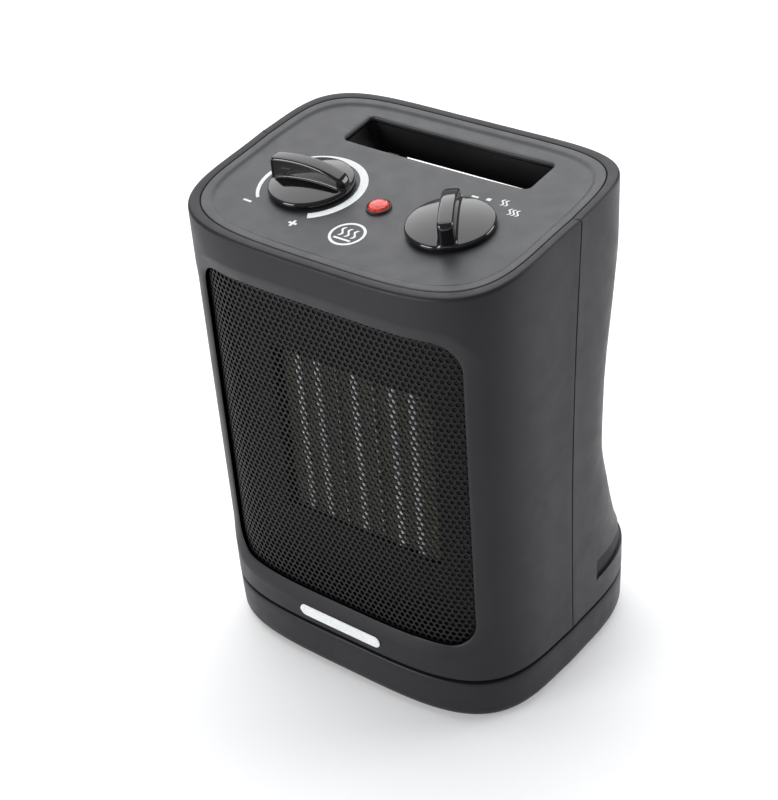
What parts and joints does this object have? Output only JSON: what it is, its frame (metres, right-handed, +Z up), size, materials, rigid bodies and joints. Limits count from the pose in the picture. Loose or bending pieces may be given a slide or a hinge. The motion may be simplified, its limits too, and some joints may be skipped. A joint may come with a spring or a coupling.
{
  "type": "ceramic space heater",
  "caption": "Oscillating desktop ceramic fan heater with a curved perforated front, dished control panel, two rotary controls, a through-cut carry handle and a turntable base.",
  "frame": {"origin": "on the floor at the centre of the footprint, on the turntable axis", "axes": "+Z up, front grille towards -Y, +X to the right seen from the front turned about Z"},
  "size_m": [0.19, 0.1571, 0.2639],
  "materials": {
    "housing": "fine satin texture, charcoal",
    "panel": "satin, mid grey",
    "gloss_black": "polished",
    "grille_mesh": "satin black, perforated",
    "lens_red": "clear red, faceted",
    "inner_plastic": "heat resistant, matt black",
    "ptc_aluminium": "mill finish",
    "fin": "dull, heat tinted",
    "steel": "zinc plated",
    "rubber": "matt",
    "cream_plastic": "matt",
    "foam": "woven filter mesh",
    "badge": "pale satin, blank"
  },
  "bodies": {
    "base": {"base_shell": "housing", "base_plate": "inner_plastic", "foot_1": "rubber", "foot_2": "rubber", "foot_3": "rubber", "foot_4": "rubber", "base_screw_1": "steel", "base_screw_2": "steel", "base_screw_3": "steel", "base_screw_4": "steel", "thrust_ring": "cream_plastic", "pivot_screw": "steel", "drive_link": "cream_plastic", "tip_switch": "cream_plastic", "tip_spring": "steel", "cord_gland": "rubber"},
    "heater_body": {"front_housing": "housing", "rear_housing": "housing", "rear_grille": "housing", "top_panel": "panel", "front_grille": "grille_mesh", "lamp_lens": "lens_red", "element_frame": "inner_plastic", "fan_shroud": "inner_plastic", "deck": "inner_plastic", "handle_pocket": "inner_plastic", "lamp_ring": "inner_plastic", "ptc_bar_1": "ptc_aluminium", "ptc_bar_2": "ptc_aluminium", "ptc_bar_3": "ptc_aluminium", "ptc_bar_4": "ptc_aluminium", "ptc_bar_5": "ptc_aluminium", "fin_bank_1": "fin", "fin_bank_2": "fin", "fin_bank_3": "fin", "fin_bank_4": "fin", "fin_bank_5": "fin", "fin_bank_6": "fin", "motor_bracket": "steel", "fan_motor": "steel", "oscillation_motor": "steel", "housing_screw_1": "steel", "housing_screw_2": "steel", "housing_screw_3": "steel", "housing_screw_4": "steel", "thermostat": "cream_plastic", "rotary_switch": "cream_plastic", "lamp_body": "cream_plastic", "thermal_cutout": "cream_plastic", "terminal_block": "cream_plastic", "dust_filter": "foam", "badge": "badge"},
    "thermostat_dial": {"thermostat_knob": "gloss_black", "thermostat_shaft": "steel"},
    "mode_dial": {"mode_knob": "gloss_black", "mode_shaft": "steel"},
    "fan": {"impeller": "inner_plastic", "fan_shaft": "steel"},
    "crank": {"crank": "steel"},
    "tip_plunger": {"tip_plunger": "inner_plastic"}
  },
  "joints": [
    {"name": "oscillation", "type": "hinge", "parent": "base", "child": "heater_body", "pos_m": [0, 0, 0.03], "axis": [0, 0, 1], "range_deg": [-30, 30]},
    {"name": "crank_turn", "type": "hinge", "parent": "heater_body", "child": "crank", "pos_m": [0, 0.04, 0.027], "axis": [0, 0, 1], "range_deg": [-90, 90]},
    {"name": "thermostat_turn", "type": "hinge", "parent": "heater_body", "child": "thermostat_dial", "pos_m": [-0.0411, -0.02178, 0.24797], "axis": [0, -0.1201, 0.9928], "range_deg": [-63, 220]},
    {"name": "mode_turn", "type": "hinge", "parent": "heater_body", "child": "mode_dial", "pos_m": [0.0411, -0.02178, 0.24797], "axis": [0, -0.1201, 0.9928], "range_deg": [-77, 0]},
    {"name": "fan_spin", "type": "hinge", "parent": "heater_body", "child": "fan", "pos_m": [0, -0.002, 0.1255], "axis": [0, 1, 0], "continuous": true},
    {"name": "tip_plunger_slide", "type": "slide", "parent": "base", "child": "tip_plunger", "axis": [0, 0, -1], "range_m": [0, 0.003], "stiffness_N_per_m": 60, "springref_m": 0.005, "deforming": ["tip_spring"]}
  ],
  "couplings": [
    {"joint": "crank_turn", "follows": "oscillation", "ratio": -3}
  ]
}
